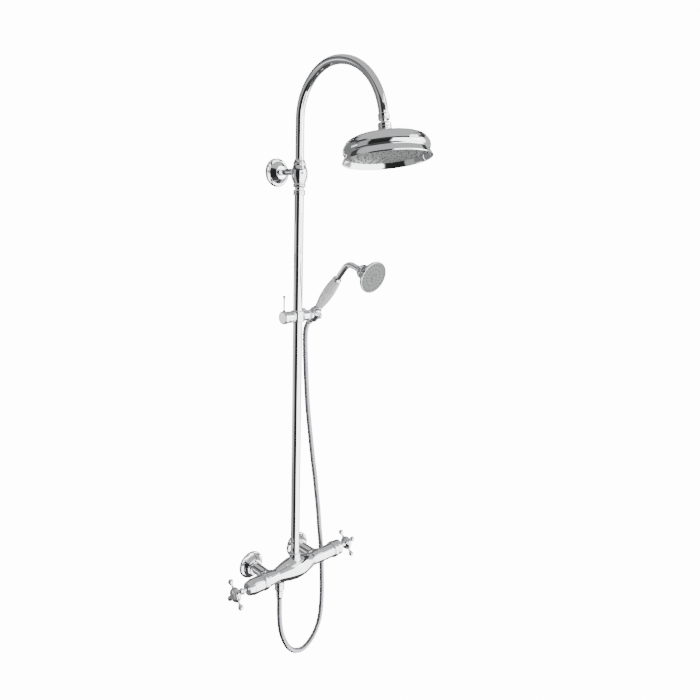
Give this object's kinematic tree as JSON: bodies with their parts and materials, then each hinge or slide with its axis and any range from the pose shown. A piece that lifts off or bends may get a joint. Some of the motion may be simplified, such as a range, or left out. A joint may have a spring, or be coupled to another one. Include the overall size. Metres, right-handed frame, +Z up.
{
  "type": "rainfall shower column",
  "caption": "Traditional exposed shower column: a bar mixer with cross handles, a riser with a swan-neck arm and rain head, and a porcelain-handled handset on a sliding cradle.",
  "frame": {"origin": "on the finished wall, midway between the two inlet axes, at their height", "axes": "+X to the right as a person in the shower faces the wall, +Y into the wall, +Z up"},
  "size_m": [0.376, 0.4588, 1.4765],
  "materials": {
    "chrome": "polished chrome plate on brass",
    "bare_brass": "machined",
    "steel": "stainless",
    "hose_metal": "polished double-lock wound strip",
    "seal_rubber": "matt",
    "nozzle_rubber": "soft silicone",
    "valve_plastic": "moulded",
    "face_plastic": "satin",
    "porcelain": "glazed porcelain"
  },
  "bodies": {
    "root": {"mixer_body": "chrome", "inlet_unions": "bare_brass", "union_nuts": "bare_brass", "inlet_filters": "seal_rubber", "check_valves": "valve_plastic", "inlet_rosettes": "chrome", "diverter_cartridge": "valve_plastic", "thermostat_cartridge": "valve_plastic", "collars": "chrome", "bonnets": "chrome", "outlet_nipple": "chrome", "hose_nut": "chrome", "hose_ferrule": "chrome", "hose": "hose_metal", "foot_nut": "chrome", "seals": "seal_rubber", "lower_riser": "chrome", "upper_riser": "chrome", "riser_sleeve": "steel", "bracket_body": "chrome", "bracket_nut": "chrome", "bracket_screw": "steel", "bracket_stem": "chrome", "bracket_rosette": "chrome", "arm_clip": "steel"},
    "left_handle": {"left_spindle": "chrome", "left_hub": "chrome", "left_spokes": "chrome", "left_cap": "chrome", "left_handle_screw": "steel"},
    "right_handle": {"right_spindle": "chrome", "right_hub": "chrome", "right_spokes": "chrome", "right_cap": "chrome", "right_handle_screw": "steel"},
    "slider": {"slider_body": "chrome", "slider_bush": "valve_plastic", "clamp_pad": "valve_plastic", "tilt_ring": "valve_plastic", "tilt_screw": "chrome"},
    "knob": {"clamp_knob": "chrome", "clamp_lever": "chrome"},
    "cradle": {"cradle": "chrome"},
    "hose_end": {"hose_cone": "chrome"},
    "handset": {"handset_handle": "porcelain", "handset_tube": "chrome", "handset_neck": "chrome", "handset_rose": "chrome", "handset_face": "face_plastic", "handset_nozzles": "nozzle_rubber"},
    "arm": {"arm_tube": "chrome", "arm_ferrule": "chrome", "swivel_ball": "chrome"},
    "ball_seat": {"swivel_seat": "valve_plastic"},
    "ball_seal": {"swivel_seal": "seal_rubber"},
    "rain_head": {"swivel_nut": "chrome", "head_shell": "chrome", "head_face": "face_plastic", "head_gasket": "seal_rubber", "head_nozzles": "nozzle_rubber"}
  },
  "joints": [
    {"name": "diverter_turn", "type": "hinge", "parent": "root", "child": "left_handle", "pos_m": [-0.177, -0.085, 0], "axis": [1, 0, 0], "range_deg": [-90, 90]},
    {"name": "temperature_turn", "type": "hinge", "parent": "root", "child": "right_handle", "pos_m": [0.18, -0.085, 0], "axis": [1, 0, 0], "range_deg": [-120, 90]},
    {"name": "slider_travel", "type": "slide", "parent": "root", "child": "slider", "axis": [0, 0, 1], "range_m": [-0.25, 0.08], "deforming": ["hose"]},
    {"name": "clamp_turn", "type": "hinge", "parent": "slider", "child": "knob", "pos_m": [-0.041, -0.085, 0.642], "axis": [1, 0, 0], "range_deg": [0, 90]},
    {"name": "cradle_tilt", "type": "hinge", "parent": "slider", "child": "cradle", "pos_m": [0.05, -0.085, 0.642], "axis": [1, 0, 0], "range_deg": [-15, 30], "deforming": ["hose"]},
    {"name": "handset_lift", "type": "slide", "parent": "cradle", "child": "hose_end", "axis": [0, -0.6561, 0.7547], "range_m": [0, 0.025], "deforming": ["hose"]},
    {"name": "handset_spin", "type": "hinge", "parent": "hose_end", "child": "handset", "pos_m": [0.05, -0.085, 0.642], "axis": [0, -0.6561, 0.7547], "range_deg": [-60, 60]},
    {"name": "arm_swivel", "type": "hinge", "parent": "root", "child": "arm", "pos_m": [0, -0.085, 0.975], "axis": [0, 0, 1], "range_deg": [-60, 60]},
    {"name": "head_tilt", "type": "hinge", "parent": "arm", "child": "ball_seat", "pos_m": [0, -0.34429, 1.05145], "axis": [1, 0, 0], "range_deg": [-12, 12]},
    {"name": "head_sway", "type": "hinge", "parent": "ball_seat", "child": "ball_seal", "pos_m": [0, -0.34429, 1.05145], "axis": [0, 0.9863, -0.165], "range_deg": [-12, 12]},
    {"name": "head_spin", "type": "hinge", "parent": "ball_seal", "child": "rain_head", "pos_m": [0, -0.34429, 1.05145], "axis": [0, -0.165, -0.9863], "continuous": true}
  ]
}
